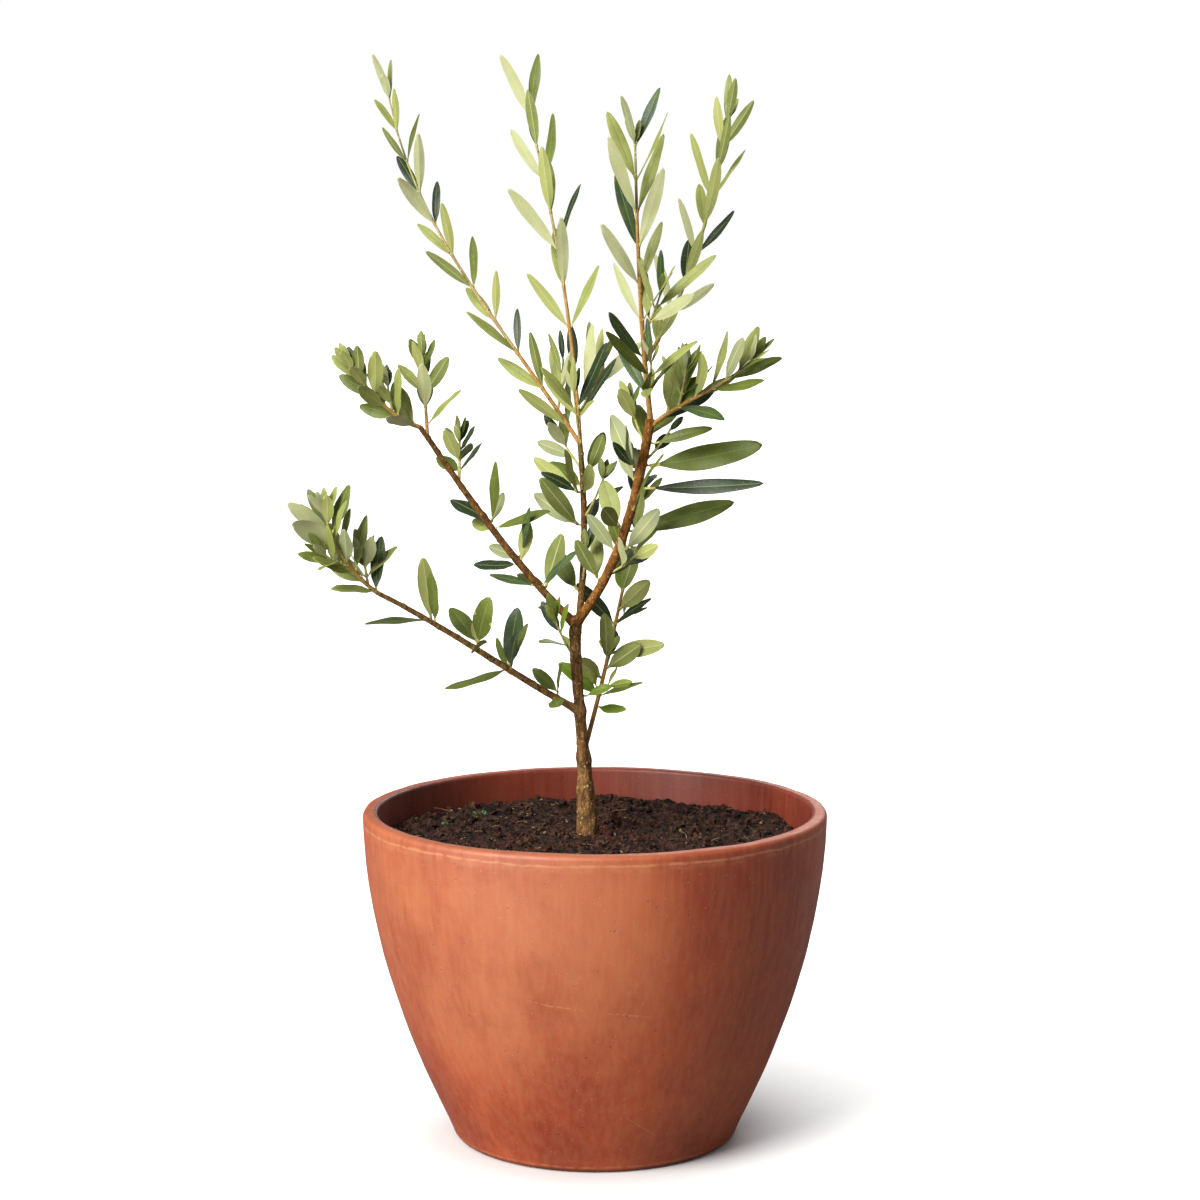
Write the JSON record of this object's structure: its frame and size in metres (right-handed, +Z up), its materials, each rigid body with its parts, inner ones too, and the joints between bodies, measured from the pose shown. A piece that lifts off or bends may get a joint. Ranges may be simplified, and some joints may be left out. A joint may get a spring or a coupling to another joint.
{
  "type": "potted olive tree",
  "caption": "Young olive tree with an open, upswept crown of narrow grey-green leaves, standing in soil in a round tapered terracotta pot with a plain rim.",
  "frame": {"origin": "centre of the flat underside of the pot, on the floor", "axes": "+X to the right as the picture shows the plant, +Y away from the viewer, +Z up"},
  "size_m": [0.3566, 0.32, 0.7412],
  "materials": {
    "terracotta": "matt unglazed terracotta with mottling, pale dust and a paler worn rim",
    "soil": "damp dark crumbly potting mix with fibres and small chips",
    "trunk_bark": "rough tan and olive bark",
    "bough_bark": "fine reddish brown young bark",
    "leaves": "satin olive leaves, grey-green above and pale sage below, on yellow-brown twigs"
  },
  "bodies": {
    "root": {"bough_back": "bough_bark", "bough_leader": "bough_bark", "bough_low_left": "bough_bark", "bough_mid_left": "bough_bark", "foliage_back_left": "leaves", "foliage_centre": "leaves", "foliage_long_left": "leaves", "foliage_low_left_tip": "leaves", "foliage_low_right": "leaves", "foliage_mid_left_outer": "leaves", "foliage_mid_left_spur": "leaves", "foliage_mid_left_upper": "leaves", "foliage_right": "leaves", "foliage_tall_right": "leaves", "leaves_back_19": "leaves", "leaves_back_21": "leaves", "leaves_back_22": "leaves", "leaves_back_23": "leaves", "leaves_leader_1": "leaves", "leaves_leader_2": "leaves", "leaves_leader_3": "leaves", "leaves_leader_4": "leaves", "leaves_leader_5": "leaves", "leaves_leader_6": "leaves", "leaves_leader_7": "leaves", "leaves_leader_8": "leaves", "leaves_leader_9": "leaves", "leaves_low_left_11": "leaves", "leaves_low_left_12": "leaves", "leaves_low_left_13": "leaves", "leaves_low_left_14": "leaves", "leaves_mid_left_15": "leaves", "leaves_mid_left_16": "leaves", "leaves_mid_left_17": "leaves", "leaves_mid_left_18": "leaves", "leaves_trunk_24": "leaves", "leaves_trunk_25": "leaves", "pot": "terracotta", "soil": "soil", "trunk": "trunk_bark"}
  },
  "joints": []
}
